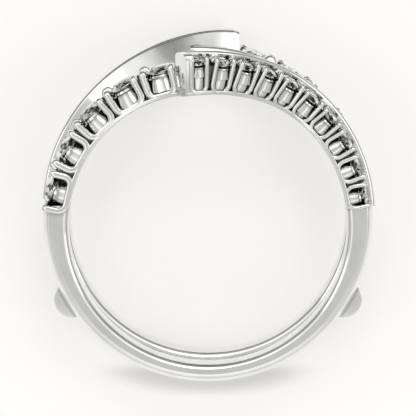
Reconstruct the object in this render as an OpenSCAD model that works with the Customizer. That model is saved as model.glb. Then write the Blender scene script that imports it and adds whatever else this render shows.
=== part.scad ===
// A ring guard enhancer lying on its side. Two narrow bands leave a gap for a solitaire ring
// between them and are joined by two small bridges. Over the top each band splits into a long
// arm of small stones and a shorter row of larger ones, and the pieces of one band are those
// of the other turned half round. All metal is soldered into one piece, and each stone is
// loose in its seat by a small clearance.

/* [Finger hole and bands] */
// Diameter of the finger hole
bore_d = 17.3; // [16:0.1:19]
// Width of each band
band_w = 1.95; // [1.7:0.05:2.2]
// Free gap between the two bands
band_gap = 2.5; // [2.2:0.1:3]
// Thickness of the bands at the bottom of the ring
band_t = 1.2; // [1:0.05:1.5]
// How far the bands' outer circle is raised towards the top of the ring
band_lift = 0.45; // [0.3:0.01:0.6]
// Radius of the domed outer face across a band
band_dome_r = 1.44; // [1.3:0.02:2]
// Rounding of the bands' inner edges
band_edge_r = 0.42; // [0.3:0.01:0.45]
// Height over the finger hole's centre at which the bands pass into the settings
collar_z = 1.35; // [0.8:0.05:1.8]
// Overlap of the settings with the bands under that height
collar_lap = 0.2; // [0.1:0.05:0.3]

/* [Bridges] */
// Angle of each bridge from the top of the ring
bridge_angle = 119; // [110:1:135]
// Radius of a bridge's round outline
bridge_r = 1.17; // [1:0.01:1.4]
// Depth of that outline's centre under the bands' outer face
bridge_sink = 0.42; // [0.3:0.01:0.5]
// Thickness of a bridge over the gap
bridge_t = 0.77; // [0.6:0.01:0.9]

/* [Long arm with small stones] */
// Number of stones on an arm
arm_count = 10; // [8:1:10]
// Diameter of an arm's first stone, at the shoulder
arm_stone_d = 1.5; // [1.4:0.01:1.55]
// Diameter of its last stone, at the tip
arm_tip_d = 0.95; // [0.9:0.01:1.2]
// Power of the curve by which the stones grow smaller
arm_taper = 5; // [4:0.5:8]
// Angle of the first stone from the top of the ring
arm_first = 78.4; // [76:0.1:79]
// Metal on each side of a stone, across the arm
arm_edge = 0.22; // [0.18:0.01:0.26]
// Distance of the arm's centre line from the ring's middle plane at the shoulder
arm_mid = 2.25; // [2.2:0.01:2.35]
// How far the arm swings out from there to its tip
arm_flare = 4.25; // [3.8:0.05:4.6]
// Angle at which the arm starts to swing out
arm_bend = 72; // [66:1:74]
// Angle at which it has swung out, past the top
arm_tip = -8; // [-9:0.1:-7]
// Power of the curve by which the arm swings out
arm_power = 1.6; // [1.4:0.1:1.8]
// Radius of the circle that the arm's rim follows
arm_rim_r = 10.95; // [10.8:0.01:11.2]
// Distance of that circle's centre from the finger hole's centre
arm_rim_shift = 0.66; // [0.5:0.01:0.8]
// Direction of that shift, as an angle from the top of the ring
arm_rim_dir = -50; // [-60:1:-40]
// Depth of the stones' girdles under the rim
arm_depth = 0.68; // [0.6:0.01:0.75]
// Outward lean of the arm at its tip, which grows from nothing at the shoulder
arm_lean = 20; // [12:1:22]
// How far the middle of the arm's end face lies past the top of the ring
arm_past = 1.7; // [1.6:0.01:1.9]
// Turn of that end face from square to the side to side axis
arm_end_turn = 28; // [20:1:32]

/* [Short row with larger stones] */
// Number of stones in a row
row_count = 5; // [4:1:5]
// Diameter of a row's first stone, at the shoulder
row_stone_d = 2.1; // [2:0.01:2.2]
// Diameter of its last stone
row_tip_d = 1.86; // [1.8:0.01:2.1]
// Angle of the first stone from the top of the ring
row_first = 77; // [75:0.1:77.5]
// Metal on each side of a stone, across the row
row_edge = 0.05; // [0.02:0.01:0.1]
// Distance of the row's centre line from the ring's middle plane at the shoulder
row_mid = 2.25; // [2.2:0.01:2.35]
// How far the row swings out from there to its last stone
row_flare = 1.95; // [1.7:0.05:2.2]
// Angle at which the row starts to swing out
row_bend = 70; // [66:1:72]
// Angle at which it has swung out
row_tip = 13.5; // [12:0.5:16]
// Height of the row's rim over the bands' outer circle
row_rim = 0.1; // [0:0.01:0.2]
// Depth of the stones' girdles under the rim
row_depth = 0.5; // [0.4:0.01:0.6]
// Depth of the row's wall under that rim, between its prong pairs
row_wall_drop = 0.36; // [0.3:0.01:0.45]

/* [Settings] */
// Thickness of the floor next to the finger
floor_t = 0.32; // [0.28:0.01:0.4]
// Thickness of the plain wall on the gap's side
wall_t = 0.45; // [0.35:0.01:0.55]
// Space between neighbouring stones of an arm
arm_space = 0.3; // [0.26:0.01:0.34]
// Space between neighbouring stones of a row
row_space = 0.76; // [0.7:0.01:0.82]
// Width of a prong pair at its foot
pair_foot = 0.5; // [0.4:0.01:0.6]
// Width of an arm's prong pair at its head
arm_pair_head = 0.8; // [0.7:0.01:0.9]
// Width of a row's prong pair at its head
row_pair_head = 1.1; // [0.95:0.01:1.2]
// Width of the slit between the heads of a pair
pair_slit = 0.14; // [0.08:0.01:0.2]
// Thickness of the prongs, across the setting
prong_t = 0.55; // [0.45:0.01:0.6]
// Height of an arm's prong heads over its stones' girdles
arm_prong_rise = 0.42; // [0.35:0.01:0.5]
// Height of a row's prong heads over its stones' girdles
row_prong_rise = 0.5; // [0.42:0.01:0.6]
// Width of the web that carries a prong pair
web_w = 0.3; // [0.25:0.01:0.34]
// Depth of its top under the stones' girdles
web_drop = 0.2; // [0.15:0.01:0.3]
// Radius of the round cup under a stone, as a share of the stone's
cup_share = 0.86; // [0.8:0.01:0.9]
// Depth of its top under the stone's girdle, as a share of the stone's radius
cup_drop = 0.5; // [0.4:0.05:0.6]
// Clearance all round a stone
stone_gap = 0.03; // [0.02:0.005:0.05]

/* [Resting pose] */
// Tilt about the side to side axis at which the ring lies on its lower edges
rest_tilt = 11.41; // [10:0.01:14]
// Roll about the front to back axis in that pose
rest_roll = -1.12; // [-3:0.01:3]

/* [Hidden] */
$fn = 96;
bore_r = bore_d / 2;
band_mid = (band_gap + band_w) / 2;
band_r = bore_r + band_t + band_lift;
reach = 2 * bore_d;

// Shares of a stone's radius that give a brilliant cut
table_share = 0.57;
star_share = 0.78;
lower_share = 0.24;
crown_angle = 34.5;
pavilion_angle = 40.75;
girdle_share = 0.05;
claw_share = 0.8;

// Share of a prong head's rise that is rounded off
head_round = 0.3;

small_total = 2 * arm_count;
large_total = 2 * row_count;

// Radius, at an angle from the top, of a circle moved by a shift in a direction
function off_circle(r, shift, dir, phi) =
    shift * cos(phi - dir) + sqrt(pow(r, 2) - pow(shift * sin(phi - dir), 2));

// Distance of a centre line from the middle plane, for an arm or a row
function arm_y(phi) =
    let (t = min(1, max(0, (arm_bend - phi) / (arm_bend - arm_tip))))
    arm_mid + arm_flare * (1 - cos(180 * pow(t, arm_power))) / 2;
function row_y(phi) = row_mid + row_flare * pow(max(0, (row_bend - phi) / (row_bend - row_tip)), 2);
function line_y(arm, phi) = arm ? arm_y(phi) : row_y(phi);

// Diameter of the stones, and half the width of the setting round them
function stone_d(arm, phi) =
    let (first = arm ? arm_first : row_first, last = arm ? arm_tip : row_tip,
        t = min(1, max(0, (first - phi) / (first - last))))
    arm ? arm_stone_d - (arm_stone_d - arm_tip_d) * pow(t, arm_taper) : row_stone_d - (row_stone_d - row_tip_d) * t;
function half_w(arm, phi) = stone_d(arm, phi) / 2 + (arm ? arm_edge : row_edge);

// Radius of the rim and of the stones' girdles
function rim_r(arm, phi) = arm ? off_circle(arm_rim_r, arm_rim_shift, arm_rim_dir, phi)
    : off_circle(band_r + row_rim, band_lift, 0, phi);
function seat_r(arm, phi) = rim_r(arm, phi) - (arm ? arm_depth : row_depth);

// Depth of the floor's middle under the girdles
function seat_depth(arm, phi) = seat_r(arm, phi) - bore_r - floor_t / 2;

// Slope of a centre line, in length for each degree, and the direction that it gives
slope_step = 0.1;
function slope(arm, phi) = (line_y(arm, phi + slope_step) - line_y(arm, phi - slope_step)) / (2 * slope_step);
function degree_length(arm, phi) = seat_r(arm, phi) * PI / 180;
function yaw(arm, phi) = atan2(-slope(arm, phi), degree_length(arm, phi));

// Angles of the stones, at even numbers, and of the prong pairs between them, at odd ones
function step_angle(arm, phi, length) = length / norm([degree_length(arm, phi), slope(arm, phi)]);
function walk(arm, phi, steps) = steps <= 0 ? phi
    : let (length = (stone_d(arm, phi) + (arm ? arm_space : row_space)) / 2)
    walk(arm, phi - step_angle(arm, phi - step_angle(arm, phi, length) / 2, length), steps - 1);
function station(arm, i) = walk(arm, arm ? arm_first : row_first, i);
function count(arm) = arm ? arm_count : row_count;

// Outward lean of a setting, about its stones' girdles
shoulder_angle = 86;
function lean(arm, phi) = arm ? arm_lean * max(0, (shoulder_angle - phi) / (shoulder_angle - arm_tip)) : 0;

// A point of a setting at an angle and a radius, and across from the centre line, positive towards the gap
function strip_point(arm, phi, across, r) =
    let (a = yaw(arm, phi), shift = across - (r - seat_r(arm, phi)) * tan(lean(arm, phi)))
    [r * sin(phi) - shift * sin(a) * cos(phi), shift * cos(a) - line_y(arm, phi),
        r * cos(phi) + shift * sin(a) * sin(phi)];

// A solid swept along a setting with the section given as points. Each point is an edge of the
// setting, -1 for the outer and 1 for the gap's, an offset across from it, and a height: a
// distance from the finger hole's centre, or a depth under the rim where it is 0 or negative.
// It runs past the last station by an angle, and is cut there.
sweep_step = 4;
arm_over = 6;
row_over = 30;
module sweep(arm, section) {
    first = arm ? arm_tip - arm_over : row_tip - row_over;
    n = ceil((shoulder_angle - first) / sweep_step);
    m = len(section);
    points = [for (i = [0:n])
        let (phi = first + (shoulder_angle - first) * i / n, side = half_w(arm, phi))
        for (p = section)
            strip_point(arm, phi, p[0] * side + p[1], p[2] > 0 ? p[2] : rim_r(arm, phi) + p[2])];
    sides = [for (i = [0:n - 1], k = [0:m - 1])
        each let (a = m * i + k, b = m * i + (k + 1) % m) [[a, b + m, b], [a, a + m, b + m]]];
    polyhedron(points, concat(sides, [[for (k = [0:m - 1]) k], [for (k = [m - 1:-1:0]) m * n + k]]));
}

// A cylinder about the ring's axis
module round_bar(r) rotate([90, 0, 0]) cylinder(r = r, h = reach, center = true);

// Puts its children at a station, with Z outward, X along the strip and +Y towards the gap
module at_station(arm, i) {
    phi = station(arm, i);
    translate([0, -line_y(arm, phi), 0])
        rotate([0, phi, 0])
            rotate([0, 0, yaw(arm, phi)])
                translate([0, 0, seat_r(arm, phi)])
                    rotate([lean(arm, phi), 0, 0])
                        children();
}

// Room for a stone, closing over the edge of its crown
module seat(r) {
    wide = r + stone_gap;
    crown = (1 - claw_share) * r * tan(crown_angle) + stone_gap;
    girdle = girdle_share * r + stone_gap;
    depth = wide * tan(pavilion_angle) + stone_gap;
    rotate_extrude()
        polygon([[0, -depth], [wide, -stone_gap], [wide, girdle], [claw_share * r, girdle + crown],
            [claw_share * r, 2 * r], [0, 2 * r]]);
}

module stone_seat(arm, i) at_station(arm, 2 * i) seat(stone_d(arm, station(arm, 2 * i)) / 2);

// The two prongs and the web between neighbouring stones
module prong_pair(arm, i) {
    phi = station(arm, i);
    head = (arm ? arm_pair_head : row_pair_head) / 2;
    foot = pair_foot / 2;
    deep = seat_depth(arm, phi);
    side = half_w(arm, phi);
    slit = pair_slit / 2;
    rise = arm ? arm_prong_rise : row_prong_rise;
    rounded = rise - head_round * rise;
    at_station(arm, i) {
        for (turn = arm ? [0] : [0, 180])
            rotate([0, 0, turn])
                translate([0, -side + prong_t, 0])
                    rotate([90, 0, 0])
                        linear_extrude(prong_t + stone_gap)
                            polygon([[-foot, -deep], [foot, -deep], [head, rounded],
                                [0.8 * head, rise], [2 * slit, rise], [slit, rounded],
                                [0, -0.7 * deep], [-slit, rounded], [-2 * slit, rise],
                                [-0.8 * head, rise], [-head, rounded]]);
        translate([-web_w / 2, -side + prong_t / 2, -deep])
            cube([web_w, 2 * side - prong_t / 2 - wall_t / 2, deep - web_drop]);
    }
}

// The round cup that stands under a stone on the floor
module cup(arm, i) {
    phi = station(arm, 2 * i);
    r = stone_d(arm, phi) / 2;
    deep = seat_depth(arm, phi);
    at_station(arm, 2 * i)
        translate([0, 0, -deep]) cylinder(r = cup_share * r, h = deep - cup_drop * r);
}

// One arm or row: floor, wall, prongs and cups, cut by the stones' seats and the finger hole
module setting(arm) {
    inside = bore_r - floor_t;
    wall_drop = arm ? 0 : -row_wall_drop;
    difference() {
        union() {
            sweep(arm, [[-1, 0, inside], [1, 0, inside], [1, 0, wall_drop], [1, -wall_t, wall_drop],
                [1, -wall_t, bore_r + floor_t], [-1, 0, bore_r + floor_t]]);
            for (i = [0:count(arm) - 1]) {
                prong_pair(arm, 2 * i + 1);
                cup(arm, i);
            }
        }
        for (i = [0:count(arm) - 1]) stone_seat(arm, i);
        round_bar(bore_r);
        translate([-reach, -reach, collar_z - collar_lap - 2 * reach]) cube(2 * reach);
        if (arm)
            translate([-arm_past, -arm_y(arm_tip), seat_r(true, arm_tip)])
                rotate([arm_lean, 0, 0])
                    rotate([0, 0, arm_end_turn])
                        translate([-reach, -reach / 2, -reach / 2]) cube(reach);
    }
}

// The near half of both settings: the arm to the right, and the row to the left up to its wall
module half_settings() {
    setting(true);
    difference() {
        mirror([1, 0, 0]) setting(false);
        sweep(true, [[-1, -bore_r, bore_r / 2], [1, -wall_t / 2, bore_r / 2],
            [1, -wall_t / 2, bore_r + reach / 8], [-1, -bore_r, bore_r + reach / 8]]);
    }
}

// A domed band, thinnest at the bottom, up to the collars
module band() {
    side = band_w / 2;
    corner = [for (a = [0:30:90]) band_edge_r * [1 - cos(a), 1 - sin(a)]];
    intersection() {
        rotate([90, 0, 0])
            rotate_extrude()
                polygon(concat([for (c = corner) [bore_r + c[0], -side + c[1]]],
                    [[reach, -side], [reach, side]],
                    [for (k = [3:-1:0]) [bore_r + corner[k][0], side - corner[k][1]]]));
        translate([0, 0, band_lift])
            rotate([90, 0, 0])
                rotate_extrude()
                    translate([band_r - band_dome_r, 0]) circle(band_dome_r);
        translate([-reach, -reach, collar_z - 2 * reach]) cube(2 * reach);
    }
}

// A half-round bridge over the gap
module bridge(side) {
    top = off_circle(band_r, band_lift, 0, bridge_angle);
    centre = top - bridge_sink;
    difference() {
        rotate([0, side * bridge_angle, 0])
            translate([0, 0, centre])
                rotate([90, 0, 0]) cylinder(r = bridge_r, h = 2 * band_mid, center = true);
        round_bar(bore_r + band_t / 2);
        rotate([90, 0, 0])
            cylinder(r = centre + bridge_r - bridge_t, h = band_gap, center = true);
    }
}

// Lays the upright ring on its side, with the near band on top
module laid() rotate([rest_tilt, rest_roll, 0]) rotate([-90, 0, 0]) children();

// The near band, with room in its collars for the first stones
module near_band() {
    difference() {
        translate([0, -band_mid, 0]) band();
        stone_seat(true, 0);
        mirror([1, 0, 0]) stone_seat(false, 0);
    }
}

module mounting() color([0.86, 0.86, 0.87]) laid() {
    for (side = [-1, 1]) bridge(side);
    for (turn = [0, 180])
        rotate([0, 0, turn]) {
            near_band();
            half_settings();
        }
}

// A round brilliant with its girdle at Z = 0, as the usual table, star, kite and half facets
module brilliant(r) {
    up = girdle_share * r;
    rise = tan(crown_angle);
    fall = tan(pavilion_angle);
    between = cos(22.5);
    function ring(n, share, start, z) = [for (k = [0:n - 1])
        [r * share * cos(start + 360 * k / n), r * share * sin(start + 360 * k / n), z]];
    points = concat(
        ring(8, table_share, 0, up + r * (1 - table_share) * rise),
        ring(8, star_share, 22.5, up + r * (1 - star_share * between) * rise),
        ring(16, 1, 0, up),
        ring(16, 1, 0, 0),
        ring(8, lower_share, 22.5, -r * (1 - lower_share * between) * fall),
        [[0, 0, -r * fall]]);
    star = 8;
    top = 16;
    low = 32;
    deep = 48;
    culet = 56;
    faces = concat(
        [[for (k = [7:-1:0]) k]],
        [for (k = [0:7]) [k, (k + 1) % 8, star + k]],
        [for (k = [0:7]) [k, star + k, top + 2 * k, star + (k + 7) % 8]],
        [for (k = [0:7]) [star + k, top + 2 * k + 1, top + 2 * k]],
        [for (k = [0:7]) [star + k, top + (2 * k + 2) % 16, top + 2 * k + 1]],
        [for (k = [0:15]) [top + k, top + (k + 1) % 16, low + (k + 1) % 16, low + k]],
        [for (k = [0:7]) [low + 2 * k, low + 2 * k + 1, deep + k]],
        [for (k = [0:7]) [low + 2 * k + 1, low + (2 * k + 2) % 16, deep + k]],
        [for (k = [0:7]) [culet, deep + (k + 7) % 8, low + 2 * k, deep + k]]);
    polyhedron(points, faces);
}

// Stones are counted from the shoulders, first those of the near band
module stone(arm, index) color([0.93, 0.95, 0.97]) laid() {
    near = index <= count(arm);
    i = near ? index - 1 : index - 1 - count(arm);
    rotate([0, 0, near ? 0 : 180])
        mirror([arm ? 0 : 1, 0, 0])
            at_station(arm, 2 * i)
                brilliant(stone_d(arm, station(arm, 2 * i)) / 2);
}
module small_stone(index) stone(true, index);
module large_stone(index) stone(false, index);

mounting();
for (i = [1:small_total])
    small_stone(i);
for (i = [1:large_total])
    large_stone(i);
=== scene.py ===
"""Dresses a ring guard enhancer: two polished bands, crossing stone-set arms, and its stage.

Lengths of the ring are in millimetres in its own upright frame: X from side to side, Y along the
finger, Z to the stone-set top. Finished pieces are laid on their side, in metres, as the model is.
"""

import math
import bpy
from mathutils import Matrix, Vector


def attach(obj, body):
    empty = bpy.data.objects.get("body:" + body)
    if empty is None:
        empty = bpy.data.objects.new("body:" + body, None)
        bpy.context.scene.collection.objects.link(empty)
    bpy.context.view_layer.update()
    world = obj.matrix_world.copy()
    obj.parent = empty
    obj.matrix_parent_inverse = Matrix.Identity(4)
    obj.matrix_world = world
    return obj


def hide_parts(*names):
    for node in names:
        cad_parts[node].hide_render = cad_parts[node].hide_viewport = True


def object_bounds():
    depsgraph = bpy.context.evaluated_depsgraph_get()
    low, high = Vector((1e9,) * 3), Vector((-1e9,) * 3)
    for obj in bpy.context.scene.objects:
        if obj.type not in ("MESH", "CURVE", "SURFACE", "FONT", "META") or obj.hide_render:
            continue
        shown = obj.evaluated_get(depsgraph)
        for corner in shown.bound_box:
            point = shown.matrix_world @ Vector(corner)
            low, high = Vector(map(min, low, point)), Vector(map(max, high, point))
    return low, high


bl_info = {
    "name": "Ring Guard Enhancer",
    "version": (1, 0, 0),
    "blender": (4, 5, 0),
    "location": "View3D > Sidebar > Ring",
    "description": "Builds the polished metal, the stones' finish and the stage of a ring guard",
    "category": "Object",
}

import bpy
from bpy.props import FloatProperty, FloatVectorProperty, IntProperty, PointerProperty
from mathutils import Matrix, Vector

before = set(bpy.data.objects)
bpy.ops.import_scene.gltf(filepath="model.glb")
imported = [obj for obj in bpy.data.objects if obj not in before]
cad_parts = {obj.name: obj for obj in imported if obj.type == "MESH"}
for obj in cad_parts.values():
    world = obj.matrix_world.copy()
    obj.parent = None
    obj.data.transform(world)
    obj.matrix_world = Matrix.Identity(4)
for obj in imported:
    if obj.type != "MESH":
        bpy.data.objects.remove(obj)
cad_box = [list(corner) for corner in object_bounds()]

MM = 0.001
# Angles, in degrees: a small step, the end of the shoulders, one that every setting passes,
# and how far past its tip the end of an arm or a row is looked for
SLOPE_STEP = 0.1
SHOULDER_ANGLE = 86
WAY_ANGLE = 40
ARM_REACH = 8
ROW_REACH = 30
# Steps of a band and of a setting along their lines, of a rounded corner and round a prong
BAND_STEPS = 112
LINE_STEPS = 72
CORNER_STEPS = 5
PRONG_STEPS = 16
# Shares of a prong's length at which its outline has points, and its width at the first of them
PRONG_SHARES = (0, 0.05, 0.12, 0.22, 0.35, 0.55, 0.8, 1.0)
PRONG_ENDS = (0.5, 0.85, 0.97)
# Slope of the stones' lower facets, from their girdles
PAVILION_ANGLE = 40.75
# A face whose normal reaches this along an axis looks that way
FACES = 0.9
# A short distance, in millimetres, within which a face lies in a plane
TOUCH = 0.01
# Distance, in millimetres, under which vertices are merged
MERGE = 0.0005


def length(name, text, default):
    """A length in millimetres that a user may change."""
    return FloatProperty(name=name, description=text, default=default, min=0.0, precision=2)


def angle(name, text, default):
    """An angle in degrees, from the top of the ring where nothing else is said."""
    return FloatProperty(name=name, description=text, default=default, precision=1)


def tint(name, text, default):
    """A colour."""
    return FloatVectorProperty(
        name=name, description=text, default=default, subtype="COLOR", size=3, min=0.0, max=1.0
    )


class BandSizes(bpy.types.PropertyGroup):
    """Sizes of the finger hole, the bands and the bridges, in millimetres and degrees"""

    bore_d: length("Finger hole", "Diameter of the finger hole", 17.3)
    band_w: length("Band width", "Width of each band", 1.95)
    band_gap: length("Gap", "Free gap between the bands", 2.5)
    band_t: length("Band thickness", "Thickness at the bottom of the ring", 1.2)
    band_lift: length("Lift", "Rise of the bands' outer circle", 0.45)
    dome_r: length("Dome", "Radius across a band's outer face", 1.44)
    inner_round: length("Inner rounding", "Rounding of the bands' inner edges", 0.42)
    outer_round: length("Outer rounding", "Rounding of the bands' outer edges", 0.12)
    side_crown: length("Side crown", "How far the bands' sides bulge", 0.04)
    collar_z: length("Collar height", "Height at which the settings begin", 1.35)
    collar_lap: length("Collar lap", "Overlap of the settings with the bands", 0.2)
    collar_round: length("Collar rounding", "Rounding of the collars' edges", 0.1)
    bridge_angle: angle("Bridge angle", "Angle of each bridge", 119.0)
    bridge_r: length("Bridge radius", "Radius of a bridge's round outline", 1.17)
    bridge_sink: length("Bridge sink", "Depth of its centre under the outer face", 0.42)
    bridge_t: length("Bridge thickness", "Thickness of a bridge over the gap", 0.77)
    bridge_round: length("Bridge rounding", "Rounding of a bridge's edges", 0.07)


class ArmSizes(bpy.types.PropertyGroup):
    """Sizes of a long arm of small stones, in millimetres and degrees"""

    count: IntProperty(name="Stones", description="Number of stones", default=10, min=1)
    stone_d: length("First stone", "Diameter of the stone at the shoulder", 1.5)
    tip_d: length("Last stone", "Diameter of the stone at the tip", 0.95)
    taper: FloatProperty(name="Taper", description="Power of the stones' taper", default=5.0)
    first: angle("First angle", "Angle of the first stone", 78.4)
    edge: length("Edge", "Metal on each side of a stone", 0.22)
    mid: length("Middle", "Distance from the ring's middle plane at the shoulder", 2.25)
    flare: length("Flare", "How far the arm swings out", 4.25)
    bend: angle("Bend", "Angle at which the arm starts to swing out", 72.0)
    tip: angle("Tip", "Angle at which it has swung out", -8.0)
    power: FloatProperty(name="Power", description="Power of the swing's curve", default=1.6)
    rim_r: length("Rim radius", "Radius of the circle that the rim follows", 10.95)
    rim_shift: length("Rim shift", "Distance of that circle's centre", 0.66)
    rim_dir: angle("Rim direction", "Direction of that shift", -50.0)
    depth: length("Depth", "Depth of the girdles under the rim", 0.68)
    space: length("Space", "Space between stones", 0.3)
    lean: angle("Lean", "Outward lean at the tip", 20.0)
    past: length("Past the top", "How far the end face lies past the top", 1.7)
    end_turn: angle("End turn", "Turn of the end face", 28.0)
    leg_w: length("Prong width", "Width of one prong, along the arm", 0.29)
    rise: length("Prong rise", "Height of the prongs over the girdles", 0.42)
    wall_drop: length("Wall drop", "Depth of the wall under the rim", 0.0)


class RowSizes(bpy.types.PropertyGroup):
    """Sizes of a short row of larger stones, in millimetres and degrees"""

    count: IntProperty(name="Stones", description="Number of stones", default=5, min=1)
    stone_d: length("First stone", "Diameter of the stone at the shoulder", 2.1)
    tip_d: length("Last stone", "Diameter of the last stone", 1.86)
    taper: FloatProperty(name="Taper", description="Power of the stones' taper", default=1.0)
    first: angle("First angle", "Angle of the first stone", 77.0)
    edge: length("Edge", "Metal on each side of a stone", 0.05)
    mid: length("Middle", "Distance from the ring's middle plane at the shoulder", 2.25)
    flare: length("Flare", "How far the row swings out", 1.95)
    bend: angle("Bend", "Angle at which the row starts to swing out", 70.0)
    tip: angle("Tip", "Angle at which it has swung out", 13.5)
    power: FloatProperty(name="Power", description="Power of the swing's curve", default=2.0)
    rim_rise: length("Rim rise", "Height of the rim over the bands' outer circle", 0.1)
    depth: length("Depth", "Depth of the girdles under the rim", 0.5)
    wall_drop: length("Wall drop", "Depth of the wall under the rim", 0.36)
    space: length("Space", "Space between stones", 0.76)
    leg_w: length("Prong width", "Width of one prong, along the row", 0.46)
    rise: length("Prong rise", "Height of the prongs over the girdles", 0.38)
    bead_rise: length("Bead rise", "Height of the prong heads on the gap's side", 0.5)


class SettingSizes(bpy.types.PropertyGroup):
    """Sizes that the settings share, in millimetres"""

    floor_t: length("Floor", "Thickness of the floor next to the finger", 0.32)
    wall_t: length("Wall", "Thickness of the wall on the gap's side", 0.45)
    rim_round: length("Rim rounding", "Rounding of the wall's rim", 0.21)
    edge_round: length("Edge rounding", "Rounding of the other edges", 0.1)
    tip_round: length("Tip rounding", "Rounding where the rim turns down at the tip", 0.5)
    tip_fall: length("Tip fall", "How far the plate's rim falls towards the prongs", 0.1)
    tip_t: length("Tip plate", "Thickness of the plate that closes an arm's tip", 0.45)
    tip_inset: length("Tip inset", "How far the floor and wall end inside that plate", 0.05)
    tip_edge: length("Tip edge", "Rounding of that plate's edges", 0.16)
    bead_w: length("Bead width", "Width of the prong heads on the gap's side", 0.9)
    bead_foot: length("Bead foot", "How far those heads reach down in the wall", 0.25)
    slit: length("Slit", "Slit between neighbouring prongs", 0.05)
    prong_t: length("Prong depth", "Thickness of a prong across the setting", 0.52)
    prong_lean: length("Prong lean", "How far the heads lean over the stones", 0.1)
    splay: length("Splay", "How far a prong's head leans from its pair", 0.1)
    web_w: length("Web", "Thickness of the web behind a prong pair", 0.3)
    web_drop: length("Web drop", "Depth of the web under the girdles", 0.2)
    cup_share: FloatProperty(name="Cup", description="Radius of the cups in stone radii", default=0.86)
    cup_drop: FloatProperty(name="Cup drop", description="Depth of the cups in stone radii", default=0.32)
    cup_square: FloatProperty(name="Cup form", description="1 is round, less is squarer", default=0.85)
    cup_shift: length("Cup shift", "How far a cup on the ring's side stands from the top", 0.11)
    cup_slim: FloatProperty(name="Slimming", description="How much slimmer it is there", default=0.22)
    cup_edge: length("Cup edge", "Rounding of a cup's upper edge", 0.03)
    cup_lip: length("Cup lip", "Flat lip inside that edge", 0.02)
    cup_room: length("Cup room", "Room between a cup's mouth and the stone", 0.03)
    cup_point: length("Cup point", "Radius at the bottom of a cup's hollow", 0.05)
    # Thickness and height of the thin dark sheet of painted shade inside the settings.
    shade_sheet_t: length("Skin", "Thickness of the inner skin over and under the metal's face", 0.02)
    shade_sheet_rise: length("Skin rise", "Height of the inner skin over the girdles", 0.12)
    panel_back: length("Panel", "Depth of the cups' fronts behind the prongs' fronts", 0.16)
    leg_square: FloatProperty(name="Prong form", description="1 is round, less is squarer", default=0.6)
    leg_foot: length("Prong foot", "Height of the baskets over the finger hole", 0.04)
    leg_bend: length("Prong bend", "Largest radius of a basket's bottom corners", 0.5)
    web_round: length("Web rounding", "Rounding of the webs' edges", 0.04)


class Finishes(bpy.types.PropertyGroup):
    """Colours and gloss of the ring and its stage"""

    metal: tint("Metal", "Polished white metal", (0.86, 0.86, 0.845))
    metal_shade: tint("Metal shade", "Its slightly duller patches", (0.80, 0.80, 0.785))
    polish: FloatProperty(name="Polish", description="Roughness of the metal", default=0.07)
    # Painted shade: the near black colour of the thin sheet over the settings' inner faces and of the
    # webs, which stands in for the shade inside; its lighter patches vary at random.
    skin: tint("Inner skin", "Unpolished metal inside the settings", (0.08, 0.08, 0.08))
    painted_shade_light_patches: tint("Inner skin shade", "Its lighter patches", (0.2, 0.2, 0.195))
    stone: tint("Stone", "Clear stone", (0.985, 0.99, 1.0))
    stone_shade: tint("Stone shade", "Its slightly denser parts", (0.93, 0.94, 0.96))
    floor: tint("Floor", "Plain pale floor", (0.70, 0.695, 0.675))


class StageSizes(bpy.types.PropertyGroup):
    """Sizes and strengths of the stage, in millimetres"""

    floor_w: length("Floor width", "Width of the floor", 1200.0)
    # Painted light: strength, place and fading of the glow painted into the floor near the ring.
    painted_glow: FloatProperty(name="Glow", description="Strength of the light from the floor", default=0.392)
    glow_shift: length("Glow shift", "How far the glow's middle lies behind the finger hole's", 1.0)
    glow_in: length("Glow inside", "Distance up to which the glow is full", 14.5)
    glow_out: length("Glow outside", "Distance at which it has faded", 55.0)
    # Size, place and darkness of the shadow painted into the floor in front of the ring.
    shadow_w: length("Shadow width", "Half the width of the shadow in front of the ring", 8.5)
    shadow_t: length("Shadow depth", "Half its depth", 2.6)
    shadow_y: length("Shadow place", "How far its middle lies in front of the finger hole's", 8.9)
    shadow_start: length("Shadow start", "Where it starts, in front of the finger hole's middle", 8.6)
    shadow_dark: FloatProperty(name="Shadow", description="Share of the glow it takes", default=0.6)
    lamp_power: FloatProperty(name="Lamps", description="Power of each lamp in watts", default=0.01)


class RestPose(bpy.types.PropertyGroup):
    """How the upright ring is laid down, and how it is looked at"""

    tilt: angle("Tilt", "Tilt about the side to side axis as it lies", 11.41)
    roll: angle("Roll", "Roll about the front to back axis as it lies", -1.12)
    view_rise: angle("View", "Height of the view over the finger hole's axis", 8.3)
    view_aim: length("Aim", "Height of the picture's middle over the hole's", 0.743)
    view_far: length("Distance", "Distance of the camera", 310.0)
    view_w: IntProperty(name="Picture", description="Width of the picture in pixels", default=416)
    view_focal: FloatProperty(name="Focal", description="Focal length in those pixels", default=4942.0)


GROUPS = {
    "ring_bands": BandSizes,
    "ring_arm": ArmSizes,
    "ring_row": RowSizes,
    "ring_settings": SettingSizes,
    "ring_finishes": Finishes,
    "ring_stage": StageSizes,
    "ring_rest": RestPose,
}


# Angles are in degrees throughout, so these take and give degrees.
def sin(a):
    return math.sin(math.radians(a))


def cos(a):
    return math.cos(math.radians(a))


def off_circle(r, shift, direction, phi):
    """Radius, at an angle from the top, of a circle moved by a shift in a direction."""
    return shift * cos(phi - direction) + math.sqrt(r**2 - (shift * sin(phi - direction)) ** 2)


def ring_to_world():
    """The matrix that lays the ring down and turns millimetres into metres."""
    rest = bpy.context.scene.ring_rest
    turn = Matrix.Rotation(math.radians(rest.roll), 4, "Y")
    turn = turn @ Matrix.Rotation(math.radians(rest.tilt), 4, "X")
    return turn @ Matrix.Rotation(math.radians(-90), 4, "X") @ Matrix.Scale(MM, 4)


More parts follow.
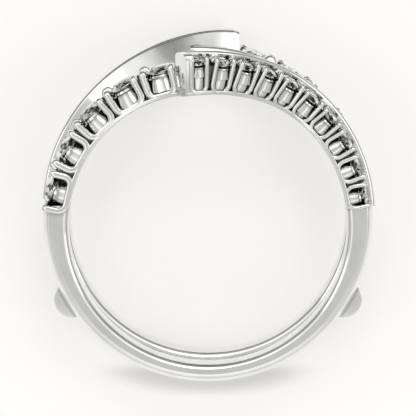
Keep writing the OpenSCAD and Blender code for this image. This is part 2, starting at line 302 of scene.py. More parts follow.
class Setting:
    """The line of an arm or a row, from its shoulder over the top, and points about it."""

    def __init__(self, is_arm):
        scene = bpy.context.scene
        self.is_arm = is_arm
        self.own = scene.ring_arm if is_arm else scene.ring_row
        self.shared = scene.ring_settings
        self.bands = scene.ring_bands
        self.bore_r = self.bands.bore_d / 2
        self.band_r = self.bore_r + self.bands.band_t + self.bands.band_lift
        self.side = 1 if is_arm else -1

    def line_y(self, phi):
        """Distance of the line from the ring's middle plane."""
        own = self.own
        t = max(0.0, (own.bend - phi) / (own.bend - own.tip))
        if self.is_arm:
            return own.mid + own.flare * (1 - cos(180 * min(1.0, t) ** own.power)) / 2
        return own.mid + own.flare * t**own.power

    def stone(self, phi):
        """Diameter of a stone at an angle."""
        own = self.own
        t = min(1.0, max(0.0, (own.first - phi) / (own.first - own.tip)))
        return own.stone_d - (own.stone_d - own.tip_d) * t**own.taper

    def half(self, phi):
        """Half the setting's width."""
        return self.stone(phi) / 2 + self.own.edge

    def rim(self, phi):
        """Radius of the rim, from the middle of the finger hole."""
        if self.is_arm:
            return off_circle(self.own.rim_r, self.own.rim_shift, self.own.rim_dir, phi)
        return off_circle(self.band_r + self.own.rim_rise, self.bands.band_lift, 0, phi)

    def seat(self, phi):
        """Radius of the stones' girdles."""
        return self.rim(phi) - self.own.depth

    def slope(self, phi):
        """Millimetres that the line moves sideways in a degree."""
        return (self.line_y(phi + SLOPE_STEP) - self.line_y(phi - SLOPE_STEP)) / (2 * SLOPE_STEP)

    def degree_length(self, phi):
        """Millimetres that it moves along in a degree."""
        return math.radians(self.seat(phi))

    def turn(self, phi, distance):
        """The angle that a distance along the line takes."""
        return distance / math.hypot(self.degree_length(phi), self.slope(phi))

    def station(self, i):
        """Angle of a stone, at an even number, or of the prongs between two, at an odd one."""
        phi = self.own.first
        for _ in range(i):
            step = (self.stone(phi) + self.own.space) / 2
            phi -= self.turn(phi - self.turn(phi, step) / 2, step)
        return phi

    def lean(self, phi):
        """Outward lean of the stones."""
        if not self.is_arm:
            return 0.0
        t = max(0.0, (SHOULDER_ANGLE - phi) / (SHOULDER_ANGLE - self.own.tip))
        return self.own.lean * t

    def point(self, phi, across, r):
        """A point at an angle and radius, across from the line, positive towards the gap."""
        yaw = math.atan2(-self.slope(phi), self.degree_length(phi))
        shift = across - (r - self.seat(phi)) * math.tan(math.radians(self.lean(phi)))
        back = shift * math.sin(yaw)
        x = r * sin(phi) - back * cos(phi)
        y = shift * math.cos(yaw) - self.line_y(phi)
        z = r * cos(phi) + back * sin(phi)
        return Vector((self.side * x, y, z))

    def end_depth(self, p):
        """How far a point lies inside the arm's slanted end face."""
        own = self.own
        tip = Vector((-own.past, -self.line_y(own.tip), self.seat(own.tip)))
        inward = Vector((cos(own.end_turn), sin(own.end_turn) * cos(own.lean),
                         sin(own.end_turn) * sin(own.lean)))
        return (p - tip).dot(inward)


def rounded(corners):
    """A closed outline of corners (x, y, radius), each turned into an arc where it has a radius."""
    points = []
    for k, (x, y, radius) in enumerate(corners):
        p = Vector((x, y))
        if radius <= 0:
            points.append(p)
            continue
        before = (Vector(corners[k - 1][:2]) - p).normalized()
        after = (Vector(corners[(k + 1) % len(corners)][:2]) - p).normalized()
        half = before.angle(after) / 2
        middle = (before + after).normalized()
        centre = p + middle * (radius / math.sin(half))
        start = p + before * (radius / math.tan(half)) - centre
        finish = p + after * (radius / math.tan(half)) - centre
        for i in range(CORNER_STEPS + 1):
            t = i / CORNER_STEPS
            points.append(centre + start.lerp(finish, t).normalized() * radius)
    return points


def squared(value, power):
    """A share from -1 to 1 pushed outwards, which turns a circle towards a square."""
    return math.copysign(abs(value) ** power, value)


def find_angle(inside, low, high):
    """The angle between low and high at which a test that holds at high stops holding."""
    for _ in range(24):
        middle = (low + high) / 2
        if inside(middle):
            high = middle
        else:
            low = middle
    return high


def select_none():
    """Leaves nothing selected, in object mode."""
    if bpy.context.object and bpy.context.object.mode != "OBJECT":
        bpy.ops.object.mode_set(mode="OBJECT")
    bpy.ops.object.select_all(action="DESELECT")


def grid_of(name, rows):
    """A grid primitive whose vertices are pulled to rows of points."""
    n = len(rows) - 1
    m = len(rows[0]) - 1
    select_none()
    bpy.ops.mesh.primitive_grid_add(x_subdivisions=m, y_subdivisions=n, size=2)
    piece = bpy.context.object
    if len(piece.data.vertices) != (n + 1) * (m + 1):
        raise RuntimeError(f"the grid for {name} came out with another number of vertices")
    piece.name = name
    for vertex in piece.data.vertices:
        row = round((vertex.co.y + 1) / 2 * n)
        column = round((vertex.co.x + 1) / 2 * m)
        vertex.co = rows[row][column]
    return piece


def close_up(piece):
    """Merges the seam, fills the ends and points the faces outwards."""
    bpy.context.view_layer.objects.active = piece
    piece.select_set(True)
    bpy.ops.object.mode_set(mode="EDIT")
    bpy.ops.mesh.select_all(action="SELECT")
    bpy.ops.mesh.remove_doubles(threshold=MERGE)
    bpy.ops.mesh.fill_holes(sides=0)
    bpy.ops.mesh.normals_make_consistent(inside=False)
    bpy.ops.object.mode_set(mode="OBJECT")
    return piece


def bevel_faces(piece, chosen, width, segments=3):
    """Rounds the edges of the faces that a test picks."""
    select_none()
    bpy.context.view_layer.objects.active = piece
    piece.select_set(True)
    bpy.ops.object.mode_set(mode="EDIT")
    bpy.ops.mesh.select_mode(type="FACE")
    bpy.ops.mesh.select_all(action="DESELECT")
    bpy.ops.object.mode_set(mode="OBJECT")
    found = 0
    for face in piece.data.polygons:
        face.select = bool(chosen(face))
        found += face.select
    if not found:
        raise RuntimeError(f"no face of {piece.name} is there to be rounded")
    bpy.ops.object.mode_set(mode="EDIT")
    bpy.ops.mesh.region_to_loop()
    bpy.ops.mesh.bevel(offset=width, segments=segments, affect="EDGES", clamp_overlap=True)
    bpy.ops.object.mode_set(mode="OBJECT")


def apply_bevel(piece, width, limit=30, segments=3):
    """Rounds every edge sharper than a limit, by a modifier that is applied."""
    bpy.context.view_layer.objects.active = piece
    bevel = piece.modifiers.new("Rounded", "BEVEL")
    bevel.width = width
    bevel.segments = segments
    bevel.limit_method = "ANGLE"
    bevel.angle_limit = math.radians(limit)
    bpy.ops.object.modifier_apply(modifier=bevel.name)


def join(name, parts):
    """Joins parts into one piece."""
    select_none()
    for part in parts:
        part.select_set(True)
    bpy.context.view_layer.objects.active = parts[0]
    if len(parts) > 1:
        bpy.ops.object.join()
    parts[0].name = name
    return parts[0]


def finish_pair(piece, name, finish=None):
    """Makes the far half's copy, turned half round, and lays both down as finished metal."""
    far = piece.copy()
    far.data = piece.data.copy()
    bpy.context.scene.collection.objects.link(far)
    far.data.transform(Matrix.Rotation(math.pi, 4, "Z"))
    for half, title in ((piece, "near"), (far, "far")):
        half.name = f"{title}_{name}"
        half.data.name = half.name
        finish_metal(half, finish)


def finish_metal(piece, finish=None):
    """Lays a piece down, polishes it or gives it another finish, and ties it to the model."""
    piece.data.transform(ring_to_world())
    select_none()
    bpy.context.view_layer.objects.active = piece
    piece.select_set(True)
    bpy.ops.object.shade_smooth_by_angle(angle=math.radians(38))
    piece.data.materials.clear()
    piece.data.materials.append(finish or white_metal())
    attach(piece, "root")
    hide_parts("mounting")


class Wire:
    """A number's socket in a node tree, used in plain arithmetic."""

    def __init__(self, tree, socket):
        self.tree = tree
        self.socket = socket

    def math(self, operation, *others, flip=False):
        values = [self.socket, *[o.socket if isinstance(o, Wire) else o for o in others]]
        if flip:
            values.reverse()
        node = self.tree.add("ShaderNodeMath", {"operation": operation}, dict(enumerate(values)))
        return Wire(self.tree, node.outputs[0])

    def __add__(self, other):
        return self.math("ADD", other)

    def __sub__(self, other):
        return self.math("SUBTRACT", other)

    def __rsub__(self, other):
        return self.math("SUBTRACT", other, flip=True)

    def __mul__(self, other):
        return self.math("MULTIPLY", other)

    def __truediv__(self, other):
        return self.math("DIVIDE", other)

    __radd__ = __add__
    __rmul__ = __mul__

    def power(self, exponent):
        return self.math("POWER", exponent)

    def smooth(self, low, high):
        """Rises smoothly from 0 at low to 1 at high."""
        sockets = {"Value": self.socket, "From Min": low, "From Max": high}
        node = self.tree.add("ShaderNodeMapRange", {"interpolation_type": "SMOOTHSTEP"}, sockets)
        return Wire(self.tree, node.outputs[0])

    def band(self, middle, width):
        """1 at a middle value, falling smoothly to 0 at a width on either side."""
        return 1 - (self - middle).math("ABSOLUTE").smooth(0.0, width)


class Tree:
    """The emptied node tree of a material or a world."""

    def __init__(self, owner):
        owner.use_nodes = True
        self.tree = owner.node_tree
        self.tree.nodes.clear()

    def add(self, kind, settings, sockets):
        """Adds a node: settings first, then values or links of its sockets."""
        node = self.tree.nodes.new(kind)
        for name, value in settings.items():
            setattr(node, name, value)
        for name, value in sockets.items():
            if isinstance(value, Wire):
                value = value.socket
            if isinstance(value, bpy.types.NodeSocket):
                self.tree.links.new(value, node.inputs[name])
            else:
                node.inputs[name].default_value = value
        return node

    def noise(self, scale, detail=2.0):
        """Cloudy numbers about 0.5, on the piece's own coordinates."""
        place = self.add("ShaderNodeTexCoord", {}, {}).outputs["Object"]
        sockets = {"Vector": place, "Scale": scale, "Detail": detail}
        return Wire(self, self.add("ShaderNodeTexNoise", {}, sockets).outputs["Fac"])

    def mix(self, factor, a, b):
        """A colour between two, by a factor from 0 to 1."""
        sockets = {"Factor": factor, "A": (*a, 1.0), "B": (*b, 1.0)}
        node = self.tree.nodes.new("ShaderNodeMix")
        node.data_type = "RGBA"
        for socket in node.inputs:
            if socket.enabled and socket.name in sockets:
                value = sockets[socket.name]
                if isinstance(value, Wire):
                    self.tree.links.new(value.socket, socket)
                else:
                    socket.default_value = value
        return [s for s in node.outputs if s.enabled][0]


def white_metal():
    """High polish white metal, with the faint cloudiness and ripple of hand polishing, and with
    painted shade where pieces meet."""
    known = bpy.data.materials.get("polished_white_metal")
    if known:
        return known
    finishes = bpy.context.scene.ring_finishes
    material = bpy.data.materials.new("polished_white_metal")
    tree = Tree(material)
    cloud = tree.noise(520.0, 3.0)
    ripple = tree.noise(900.0, 1.0)
    grain = tree.noise(26000.0, 2.0)
    height = ripple * 0.8 + grain * 0.03
    bump = tree.add("ShaderNodeBump", {}, {"Strength": 0.35, "Distance": 0.00002, "Height": height})
    clean = tree.mix(cloud.smooth(0.35, 0.7), finishes.metal, finishes.metal_shade)
    # Painted shade: ambient occlusion darkens the metal's colour in recesses and where pieces meet.
    painted_recess_shade = tree.add("ShaderNodeAmbientOcclusion", {}, {"Color": clean, "Distance": 0.00025})
    surface = tree.add("ShaderNodeBsdfPrincipled", {}, {
        "Base Color": painted_recess_shade.outputs["Color"],
        "Metallic": 1.0,
        "Roughness": cloud * 0.04 + grain * 0.02 + (finishes.polish - 0.03),
        "Normal": bump.outputs[0],
    })
    tree.add("ShaderNodeOutputMaterial", {}, {"Surface": surface.outputs[0]})
    return material


def dull_painted_shade_metal():
    """Dull metal whose dark colour is painted shade, for the thin sheet over the settings' inner faces
    and for the webs.
    """
    known = bpy.data.materials.get("dull_metal_painted_shade")
    if known:
        return known
    finishes = bpy.context.scene.ring_finishes
    material = bpy.data.materials.new("dull_metal_painted_shade")
    tree = Tree(material)
    cloud = tree.noise(2600.0, 3.0)
    pits = tree.noise(22000.0, 2.0)
    bump = tree.add("ShaderNodeBump", {}, {"Strength": 0.5, "Distance": 0.00002, "Height": pits})
    surface = tree.add("ShaderNodeBsdfPrincipled", {}, {
        "Base Color": tree.mix(cloud, finishes.skin, finishes.painted_shade_light_patches),
        "Metallic": 0.8,
        "Roughness": cloud * 0.2 + 0.25,
        "Normal": bump.outputs[0],
    })
    tree.add("ShaderNodeOutputMaterial", {}, {"Surface": surface.outputs[0]})
    return material


def clear_stone(name, scale):
    """A clear, strongly refracting stone, with patches that flash like mirrors."""
    finishes = bpy.context.scene.ring_finishes
    material = bpy.data.materials.new(name)
    tree = Tree(material)
    cloud = tree.noise(scale, 3.0)
    clear = tree.add("ShaderNodeBsdfPrincipled", {}, {
        "Base Color": tree.mix(cloud.smooth(0.4, 0.7), finishes.stone, finishes.stone_shade),
        "Roughness": cloud * 0.01,
        "IOR": 2.4,
        "Transmission Weight": 1.0,
    })
    flash = tree.add("ShaderNodeBsdfPrincipled", {}, {
        "Base Color": tree.mix(cloud.smooth(0.3, 0.6), finishes.stone, finishes.stone_shade),
        "Metallic": 1.0,
        "Roughness": cloud * 0.04 + 0.02,
    })
    flashing = tree.noise(scale * 3.5, 1.0).smooth(0.42, 0.54) * 0.8
    sockets = {0: flashing, 1: clear.outputs[0], 2: flash.outputs[0]}
    surface = tree.add("ShaderNodeMixShader", {}, sockets)
    tree.add("ShaderNodeOutputMaterial", {}, {"Surface": surface.outputs[0]})
    return material


class RING_OT_bands(bpy.types.Operator):
    """The two plain domed bands, from collar to collar round the bottom"""

    bl_idname = "ring.bands"
    bl_label = "Bands"

    def section(self, phi):
        """The outline across a band as points (across, radius)."""
        bands = bpy.context.scene.ring_bands
        bore_r = bands.bore_d / 2
        band_r = bore_r + bands.band_t + bands.band_lift
        side = bands.band_w / 2

        def outer(across):
            r = band_r - bands.dome_r + math.sqrt(bands.dome_r**2 - across**2)
            return off_circle(r, bands.band_lift, 0, phi)

        edge = side - bands.side_crown
        low = bore_r + bands.inner_round
        high = outer(edge) - bands.outer_round
        flank = []
        for step in range(1, 7):
            t = 0.15 * step
            flank.append((edge + bands.side_crown * 4 * t * (1 - t), low + (high - low) * t, 0))
        corners = [(0, bore_r, 0), (edge, bore_r, bands.inner_round), *flank]
        corners.append((edge, outer(edge), bands.outer_round))
        for step in range(4, -5, -1):
            across = edge * step / 5
            corners.append((across, outer(across), 0))
        corners.append((-edge, outer(edge), bands.outer_round))
        corners += [(-x, r, 0) for x, r, _ in reversed(flank)]
        corners.append((-edge, bore_r, bands.inner_round))
        return rounded(corners)

    def execute(self, context):
        bands = context.scene.ring_bands
        middle = (bands.band_gap + bands.band_w) / 2
        count = len(self.section(180))
        starts = []
        for k in range(count):
            phi = SHOULDER_ANGLE
            for _ in range(6):
                phi = math.degrees(math.acos(bands.collar_z / self.section(phi)[k].y))
            starts.append(phi)
        rows = []
        for i in range(BAND_STEPS + 1):
            row = []
            for k in range(count):
                phi = starts[k] + (360 - 2 * starts[k]) * i / BAND_STEPS
                across, r = self.section(phi)[k]
                row.append(Vector((r * sin(phi), across - middle, r * cos(phi))))
            rows.append(row + row[:1])
        piece = close_up(grid_of("band", rows))
        bevel_faces(piece, lambda f: f.normal.z > FACES and f.center.z > bands.collar_z - TOUCH,
                    bands.collar_round)
        finish_pair(piece, "band")
        return {"FINISHED"}


class RING_OT_bridges(bpy.types.Operator):
    """The two half-round bridges that join the bands"""

    bl_idname = "ring.bridges"
    bl_label = "Bridges"

    def execute(self, context):
        bands = context.scene.ring_bands
        middle = (bands.band_gap + bands.band_w) / 2
        bore_r = bands.bore_d / 2
        band_r = bore_r + bands.band_t + bands.band_lift
        centre = off_circle(band_r, bands.band_lift, 0, bands.bridge_angle) - bands.bridge_sink
        under = centre + bands.bridge_r - bands.bridge_t
        foot = bore_r + bands.band_t / 2
        for side in (-1, 1):
            select_none()
            bpy.ops.mesh.primitive_cylinder_add(
                vertices=96, radius=bands.bridge_r, depth=2 * middle,
                location=(0, 0, centre), rotation=(math.pi / 2, 0, 0))
            bpy.ops.object.transform_apply(location=True, rotation=True, scale=True)
            piece = context.object
            bpy.ops.object.mode_set(mode="EDIT")
            bpy.ops.mesh.select_all(action="SELECT")
            bpy.ops.mesh.bisect(plane_co=(0, 0, under), plane_no=(0, 0, 1),
                                use_fill=True, clear_inner=True)
            for y in (-bands.band_gap / 2, bands.band_gap / 2):
                bpy.ops.mesh.select_all(action="SELECT")
                bpy.ops.mesh.bisect(plane_co=(0, y, 0), plane_no=(0, 1, 0))
            bpy.ops.object.mode_set(mode="OBJECT")
            for face in piece.data.polygons:
                low = face.normal.z < -FACES and face.center.z < under + TOUCH
                face.select = low and abs(face.center.y) > bands.band_gap / 2
            bpy.ops.object.mode_set(mode="EDIT")
            bpy.ops.mesh.select_mode(type="FACE")
            bpy.ops.mesh.extrude_region_move(
                TRANSFORM_OT_translate={"value": (0, 0, foot - under)})
            bpy.ops.mesh.select_all(action="SELECT")
            bpy.ops.mesh.remove_doubles(threshold=MERGE)
            bpy.ops.mesh.normals_make_consistent(inside=False)
            bpy.ops.object.mode_set(mode="OBJECT")
            apply_bevel(piece, bands.bridge_round, limit=50)
            turn = math.radians(side * bands.bridge_angle)
            piece.data.transform(Matrix.Rotation(turn, 4, "Y"))
            piece.name = "right_bridge" if side > 0 else "left_bridge"
            piece.data.name = piece.name
            finish_metal(piece)
        return {"FINISHED"}


def swept(name, line, corners, depth_of):
    """A long piece swept along a setting. corners(phi) gives its section as (across, radius, rounding),
    and depth_of(point, phi) says how far a point lies inside the setting's end."""
    bands = line.bands

    def place(phi, k):
        across, r = rounded(corners(phi))[k]
        return line.point(phi, across, r)

    count = len(rounded(corners(WAY_ANGLE)))
    floor_z = bands.collar_z - bands.collar_lap
    low = line.own.tip - (ARM_REACH if line.is_arm else ROW_REACH)
    ends = []
    for k in range(count):
        start = find_angle(lambda phi: place(phi, k).z > floor_z, SHOULDER_ANGLE + 2, 60)
        stop = find_angle(lambda phi: depth_of(place(phi, k), phi) > 0, low, WAY_ANGLE)
        ends.append((start, stop))
    rows = []
    for i in range(LINE_STEPS + 1):
        t = i / LINE_STEPS
        row = [place(start + (stop - start) * t, k) for k, (start, stop) in enumerate(ends)]
        rows.append(row + row[:1])
    return close_up(grid_of(name, rows))


def arm_end(line):
    """The end of an arm: its slanted face, rounded where the rim turns down."""
    rounding = line.shared.tip_round

    def depth(p, phi):
        high = math.hypot(p.x, p.z) - line.rim(phi) + rounding
        back = rounding - math.sqrt(rounding**2 - min(rounding, max(0.0, high)) ** 2)
        return line.end_depth(p) - back - line.shared.tip_inset

    return depth


def row_end(line, arm):
    """The end of a row: it runs into the middle of the arm's wall."""

    def depth(p, _):
        r = math.hypot(p.x, p.z)
        azimuth = math.degrees(math.atan2(p.x, p.z))
        if azimuth < arm.own.tip - ARM_REACH / 2:
            return 1.0
        own = azimuth
        for _ in range(4):
            across = arm.half(own) - line.shared.wall_t / 2
            q = arm.point(own, across, r)
            own += azimuth - math.degrees(math.atan2(q.x, q.z))
        return p.y - q.y

    return depth


def build_setting(line, depth_of):
    """Floor and wall of an arm or a row."""
    shared = line.shared
    bore_r = line.bore_r
    small = shared.edge_round

    def floor(phi):
        half = line.half(phi)
        top = bore_r + shared.floor_t
        return [(-half, bore_r, small), (half - small, bore_r, 0), (half - small, top, 0),
                (-half, top, small)]

    def wall(phi):
        half = line.half(phi)
        inner = half - shared.wall_t
        rim = line.rim(phi) - line.own.wall_drop
        return [(half, bore_r, small), (half, rim, shared.rim_round), (inner, rim, shared.rim_round),
                (inner, bore_r, 0)]

    parts = [swept(part.__name__, line, part, depth_of) for part in (floor, wall)]
    return join("setting", parts)


def build_painted_shade_sheet(line, depth_of):
    """A thin dark sheet of painted shade over the inner faces of an arm or a row, on its floor and up its
    wall.
    """
    shared = line.shared
    low = line.bore_r + shared.floor_t
    thin = shared.shade_sheet_t

    def skin(phi):
        front = -line.half(phi) + shared.prong_t
        inner = line.half(phi) - shared.wall_t
        high = line.seat(phi) + shared.shade_sheet_rise
        return [(front, low - thin, 0), (inner + thin, low - thin, 0), (inner + thin, high, 0),
                (inner - thin, high, 0), (inner - thin, low + thin, 0), (front, low + thin, 0)]

    return swept("skin", line, skin, depth_of)


def tube(name, line, path, half_w, half_t, scales):
    """A bar along path points (angle, across, radius), each with a scale of the rounded section."""
    centres = [line.point(*p) for p in path]
    widths = [line.point(p[0], p[1] + TOUCH, p[2]) - line.point(*p) for p in path]
    square = line.shared.leg_square
    rows = []
    for i, centre in enumerate(centres):
        ahead = centres[min(i + 1, len(centres) - 1)] - centres[max(i - 1, 0)]
        across = widths[i].normalized()
        outward = ahead.cross(across).normalized()
        row = []
        for k in range(PRONG_STEPS):
            c = squared(cos(360 * k / PRONG_STEPS), square) * scales[i]
            s = squared(sin(360 * k / PRONG_STEPS), square) * scales[i]
            row.append(centre + outward * (c * half_w) + across * (s * half_t))
        rows.append(row + row[:1])
    return close_up(grid_of(name, rows))


def basket(line, i):
    """The U-shaped basket at a stone: two prongs that join in a round bottom on the floor."""
    shared = line.shared
    phi = line.station(2 * i)
    half_leg = line.own.leg_w / 2
    room = (line.stone(phi) + line.own.space - shared.slit) / 2 - half_leg
    bottom = line.bore_r + half_leg + shared.leg_foot
    top = line.seat(phi) + line.own.rise
    radius = min(shared.leg_bend, room * 0.8)
    outline = []
    for t in PRONG_SHARES:
        outline.append((shared.splay * (1 - t) - room, top + (bottom + radius - top) * t))
    for a in range(15, 91, 15):
        outline.append((-room + radius * (1 - cos(a)), bottom + radius * (1 - sin(a))))
    outline += [(-s, r) for s, r in reversed(outline)]
    path = []
    for s, r in outline:
        head = max(0.0, (r - line.seat(phi)) / line.own.rise)
        across = -line.half(phi) + shared.prong_t / 2 + shared.prong_lean * head**2
        path.append((phi + line.turn(phi, s * (1 - 0.05 * head**2)), across, r))
    middles = [1.0] * (len(path) - 2 * len(PRONG_ENDS))
    scales = [*PRONG_ENDS, *middles, *PRONG_ENDS[::-1]]
    return tube(f"basket_{i}", line, path, half_leg, shared.prong_t / 2, scales)


def stand(piece, line, phi):
    """Puts a piece at an angle of a setting: Z outward from the girdles, X along, Y to the gap."""
    yaw = math.atan2(-line.slope(phi), line.degree_length(phi))
    lay = Matrix.Translation((0, -line.line_y(phi), 0)) @ Matrix.Rotation(math.radians(phi), 4, "Y")
    lay = lay @ Matrix.Rotation(yaw, 4, "Z") @ Matrix.Translation((0, 0, line.seat(phi)))
    lay = lay @ Matrix.Rotation(math.radians(line.lean(phi)), 4, "X")
    piece.data.transform(Matrix.Diagonal((line.side, 1, 1, 1)) @ lay)
    return close_up(piece)


def cup(line, i):
    """The cup that stands under a stone, hollowed for the stone's point, its front brought forward."""
    shared = line.shared
    phi = line.station(2 * i)
    stone_r = line.stone(phi) / 2
    r = shared.cup_share * stone_r
    fall = math.tan(math.radians(PAVILION_ANGLE))
    top = -shared.cup_drop * stone_r
    low = line.bore_r + shared.floor_t / 2 - line.seat(phi)
    select_none()
    bpy.ops.mesh.primitive_cylinder_add(
        vertices=48, radius=r, depth=top - low, location=(0, 0, (top + low) / 2))
    piece = bpy.context.object
    bpy.ops.object.transform_apply(location=True, rotation=True, scale=True)
    bpy.ops.object.mode_set(mode="EDIT")
    bpy.ops.mesh.select_mode(type="FACE")
    bpy.ops.mesh.select_all(action="DESELECT")
    bpy.ops.object.mode_set(mode="OBJECT")
    front = (line.half(phi) - shared.panel_back) / r
    aside = max(0.0, sin(phi))
    slim = 1 - shared.cup_slim * aside
    for vertex in piece.data.vertices:
        x, y, z = vertex.co / r
        x = squared(x, shared.cup_square) * slim
        y = squared(y, shared.cup_square) * (front if y < 0 else 1)
        vertex.co = (x * r + shared.cup_shift * aside, y * r, z * r)
    for face in piece.data.polygons:
        face.select = face.normal.z > FACES
    mouth = stone_r + top / fall + shared.cup_room
    hollow = mouth - shared.cup_point
    bpy.ops.object.mode_set(mode="EDIT")
    bpy.ops.mesh.bevel(offset=shared.cup_edge, segments=2, affect="EDGES")
    bpy.ops.mesh.inset(thickness=shared.cup_lip)
    bpy.ops.mesh.inset(thickness=r - shared.cup_edge - shared.cup_lip - mouth)
    bpy.ops.mesh.inset(thickness=hollow)
    bpy.ops.transform.translate(value=(0, 0, -hollow * fall))
    bpy.ops.object.mode_set(mode="OBJECT")
    return stand(piece, line, phi)


def web(line, i):
    """The web behind a pair of prongs, from the prongs to the wall under the stones."""
    shared = line.shared
    phi = line.station(2 * i + 1)
    turn = line.turn(phi, shared.web_w / 2)
    near = -line.half(phi) + shared.prong_t / 2
    far = line.half(phi) - shared.wall_t / 2
    low = line.bore_r + shared.floor_t / 2
    high = line.seat(phi) - shared.web_drop
    rows = []
    for across in (near, far):
        loop = [(phi - turn, low), (phi + turn, low), (phi + turn, high), (phi - turn, high)]
        row = [line.point(p, across, r) for p, r in loop]
        rows.append(row + row[:1])
    piece = close_up(grid_of(f"web_{i}", rows))
    apply_bevel(piece, shared.web_round, segments=2)
    return piece


def bead(line, i):
    """The rounded head of the prongs on the gap's side, between two stones."""
    shared = line.shared
    phi = line.station(2 * i + 1)
    select_none()
    bpy.ops.mesh.primitive_uv_sphere_add(segments=32, ring_count=20, radius=1)
    piece = bpy.context.object
    low = line.own.depth - line.own.wall_drop - shared.bead_foot
    middle = line.half(phi) - shared.wall_t / 2 - shared.prong_lean
    for vertex in piece.data.vertices:
        x, y, z = (squared(value, shared.cup_square) for value in vertex.co)
        z = z * (line.own.bead_rise - low) if z > 0 else z * shared.bead_foot
        vertex.co = (x * shared.bead_w / 2, y * shared.prong_t / 2 + middle, z + low)
    return stand(piece, line, phi)


def end_panel(line):
    """The plate that closes an arm's tip, up to its rim."""
    shared = line.shared
    tip = line.own.tip
    half = line.half(tip)
    rim = line.rim(tip)
    outline = [(-half, line.bore_r, shared.edge_round), (half, line.bore_r, shared.edge_round),
               (half, rim, shared.rim_round), (-half, rim - shared.tip_fall, shared.tip_round)]
    rows = []
    for inset in (0.0, shared.tip_t):
        row = []
        for across, r in rounded(outline):
            stop = find_angle(lambda p: line.end_depth(line.point(p, across, r)) > inset,
                              tip - ARM_REACH, WAY_ANGLE / 2)
            row.append(line.point(stop, across, r))
        rows.append(row + row[:1])
    piece = close_up(grid_of("end_panel", rows))
    apply_bevel(piece, shared.tip_edge)
    return piece


class RING_OT_arms(bpy.types.Operator):
    """The two long arms: floor, wall, the closed tip and a thin dark sheet of painted shade inside"""

    bl_idname = "ring.arms"
    bl_label = "Arms"

    def execute(self, context):
        line = Setting(True)
        piece = build_setting(line, arm_end(line))
        finish_pair(join("arm", [piece, end_panel(line)]), "arm")
        # A thin dark sheet over the inner faces paints the shade inside the arm.
        finish_pair(build_painted_shade_sheet(line, arm_end(line)), "arm_painted_shade", dull_painted_shade_metal())
        return {"FINISHED"}


class RING_OT_rows(bpy.types.Operator):
    """The two short rows: floor, wall and a thin dark sheet of painted shade inside"""

    bl_idname = "ring.rows"
    bl_label = "Rows"

    def execute(self, context):
        line = Setting(False)
        depth_of = row_end(line, Setting(True))
        finish_pair(build_setting(line, depth_of), "row")
        # A thin dark sheet over the inner faces paints the shade inside the row.
        finish_pair(build_painted_shade_sheet(line, depth_of), "row_painted_shade", dull_painted_shade_metal())
        return {"FINISHED"}


class RING_OT_prongs(bpy.types.Operator):
    """The U-shaped baskets, the cups, the rows' prong heads on the gap's side, and the webs, coloured
    with painted shade
    """

    bl_idname = "ring.prongs"
    bl_label = "Prongs and webs"

    def execute(self, context):
        for is_arm, title in ((True, "arm"), (False, "row")):
            line = Setting(is_arm)
            parts = [basket(line, i) for i in range(line.own.count)]
            parts += [cup(line, i) for i in range(line.own.count)]
            if not is_arm:
                parts += [bead(line, i) for i in range(line.own.count - 1)]
            finish_pair(join("prongs", parts), f"{title}_prongs")
            webs = [web(line, i) for i in range(line.own.count - 1)]
            # The webs take the dark colour of painted shade.
            finish_pair(join("webs", webs), f"{title}_webs", dull_painted_shade_metal())
        return {"FINISHED"}


class RING_OT_stones(bpy.types.Operator):
    """The finish of the cut stones"""

    bl_idname = "ring.stones"
    bl_label = "Stones"

    def execute(self, context):
        small = clear_stone("clear_small_stone", 900.0)
        large = clear_stone("clear_large_stone", 700.0)
        for name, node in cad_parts.items():
            if name == "mounting":
                continue
            material = small if name.startswith("small") else large
            for slot in node.material_slots:
                slot.material = material
        return {"FINISHED"}


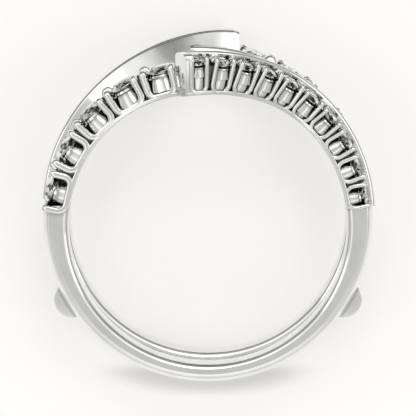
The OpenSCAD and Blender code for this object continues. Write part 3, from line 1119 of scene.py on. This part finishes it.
class RING_OT_stage(bpy.types.Operator):
    """The pale floor, the soft studio light and the camera"""

    bl_idname = "ring.stage"
    bl_label = "Stage"

    def execute(self, context):
        scene = context.scene
        lay = ring_to_world()
        turn = lay.to_3x3().normalized()
        self.make_floor(scene)
        self.make_world(scene, turn)
        self.make_lights(scene, lay)
        self.make_camera(scene, lay, turn)
        scene.view_settings.view_transform = "Standard"
        return {"FINISHED"}

    def make_floor(self, scene):
        """A plain floor with a painted glow near the ring that fades with distance, and a painted shadow
        in front of the ring where that glow and the floor's colour are dimmed.
        """
        stage = scene.ring_stage
        select_none()
        bpy.ops.mesh.primitive_plane_add(size=stage.floor_w * MM, location=(0, 0, cad_box[0][2]))
        floor = bpy.context.object
        floor.name = "studio_floor"
        material = bpy.data.materials.new("pale_floor")
        tree = Tree(material)
        place = tree.add("ShaderNodeTexCoord", {}, {}).outputs["Object"]
        sides = tree.add("ShaderNodeSeparateXYZ", {}, {0: place})
        x, y = (Wire(tree, sides.outputs[k]) for k in (0, 1))
        # Painted light: the floor glows near the ring and is darker away from it, a pool of light painted
        # into its colour and emission.
        away = (x.power(4) + (y - stage.glow_shift * MM).power(4)).power(0.25)
        painted_glow = 1 - away.smooth(stage.glow_in * MM, stage.glow_out * MM)
        # Painted shadow: an oval in front of the ring where the glow and the floor's colour are dimmed.
        across = (x / (stage.shadow_w * MM)).power(2)
        along = ((y + stage.shadow_y * MM) / (stage.shadow_t * MM)).power(2)
        painted_shadow = 1 - (across + along).power(0.5).smooth(0.5, 0.9)
        start = stage.shadow_start * MM
        painted_glow = painted_glow * (1 - painted_shadow * (y * -1).smooth(start, start + MM) * stage.shadow_dark)
        pale = scene.ring_finishes.floor
        surface = tree.add("ShaderNodeBsdfPrincipled", {}, {
            "Base Color": tree.mix(painted_glow, [0.85 * c for c in pale], pale),
            "Roughness": tree.noise(9.0, 2.0) * 0.1 + 0.6,
            "Specular IOR Level": 0.1,
            "Emission Color": tree.mix(painted_glow, (0, 0, 0), (1.0, 0.995, 0.975)),
            "Emission Strength": stage.painted_glow,
        })
        tree.add("ShaderNodeOutputMaterial", {}, {"Surface": surface.outputs[0]})
        floor.data.materials.append(material)

    def make_world(self, scene, turn):
        """A pale dome: lighter in front and above, with a dark streak low in front, and dark behind."""
        world = bpy.data.worlds.new("soft_dome")
        scene.world = world
        tree = Tree(world)
        direction = tree.add("ShaderNodeTexCoord", {}, {}).outputs["Generated"]

        def along(axis):
            towards = turn @ Vector(axis)
            node = tree.add("ShaderNodeVectorMath", {"operation": "DOT_PRODUCT"},
                            {0: direction, 1: tuple(towards)})
            return Wire(tree, node.outputs["Value"])

        front = along((0, -1, 0))
        top = along((0, 0, 1))
        halo = front.band(0.8, 0.17) * 0.5
        above = top.smooth(0.35, 0.7) * front.smooth(0.4, 0.6) * 0.4
        streak = front.band(0.33, 0.16) * top.smooth(0.25, 0.6) * 0.97
        behind = front.smooth(0.02, 0.16) * 0.94
        light = (halo + above + 0.64) * (1 - streak) * (0.06 + behind)
        sockets = {"Color": (1, 0.995, 0.98, 1), "Strength": light}
        background = tree.add("ShaderNodeBackground", {}, sockets)
        tree.add("ShaderNodeOutputWorld", {}, {"Surface": background.outputs[0]})

    def make_lights(self, scene, lay):
        """Three round softboxes: name, place and width in the ring's millimetres."""
        lamps = (
            ("top_softbox", (10, -110, 70), 50),
            ("left_softbox", (-120, -100, 30), 60),
            ("right_softbox", (120, -100, 10), 60),
        )
        for name, place, size in lamps:
            lamp = bpy.data.lights.new(name, "AREA")
            lamp.shape = "DISK"
            lamp.size = size * MM
            lamp.energy = scene.ring_stage.lamp_power
            holder = bpy.data.objects.new(name, lamp)
            holder.location = lay @ Vector(place)
            holder.rotation_euler = (-holder.location).to_track_quat("-Z", "Y").to_euler()
            scene.collection.objects.link(holder)

    def make_camera(self, scene, lay, turn):
        """A long lens on the finger hole's axis, a little above it."""
        rest = scene.ring_rest
        back = Vector((0, -cos(rest.view_rise), sin(rest.view_rise)))
        up = Vector((0, sin(rest.view_rise), cos(rest.view_rise)))
        eye = up * rest.view_aim + back * rest.view_far
        aim = turn @ Matrix((up.cross(back), up, back)).transposed()
        data = bpy.data.cameras.new("camera")
        data.lens = rest.view_focal / rest.view_w * data.sensor_width
        data.clip_start = 0.01
        data.clip_end = 10
        camera = bpy.data.objects.new("camera", data)
        camera.matrix_world = Matrix.Translation(lay @ eye) @ aim.to_4x4()
        scene.collection.objects.link(camera)
        scene.camera = camera


class RING_PT_panel(bpy.types.Panel):
    """The ring's pieces and sizes"""

    bl_idname = "RING_PT_panel"
    bl_label = "Ring Guard Enhancer"
    bl_space_type = "VIEW_3D"
    bl_region_type = "UI"
    bl_category = "Ring"

    def draw(self, context):
        column = self.layout.column()
        for operator in OPERATORS:
            column.operator(operator.bl_idname)
        for name, group in GROUPS.items():
            box = self.layout.box()
            for key in group.__annotations__:
                box.prop(getattr(context.scene, name), key)


OPERATORS = (
    RING_OT_bands,
    RING_OT_bridges,
    RING_OT_arms,
    RING_OT_rows,
    RING_OT_prongs,
    RING_OT_stones,
    RING_OT_stage,
)
CLASSES = (*GROUPS.values(), *OPERATORS, RING_PT_panel)


def register():
    for item in CLASSES:
        bpy.utils.register_class(item)
    for name, group in GROUPS.items():
        setattr(bpy.types.Scene, name, PointerProperty(type=group))


def unregister():
    for name in GROUPS:
        delattr(bpy.types.Scene, name)
    for item in reversed(CLASSES):
        bpy.utils.unregister_class(item)


def main():
    register()
    bpy.ops.ring.bands()
    bpy.ops.ring.bridges()
    bpy.ops.ring.arms()
    bpy.ops.ring.rows()
    bpy.ops.ring.prongs()
    bpy.ops.ring.stones()
    bpy.ops.ring.stage()


if __name__ == "__main__":
    main()
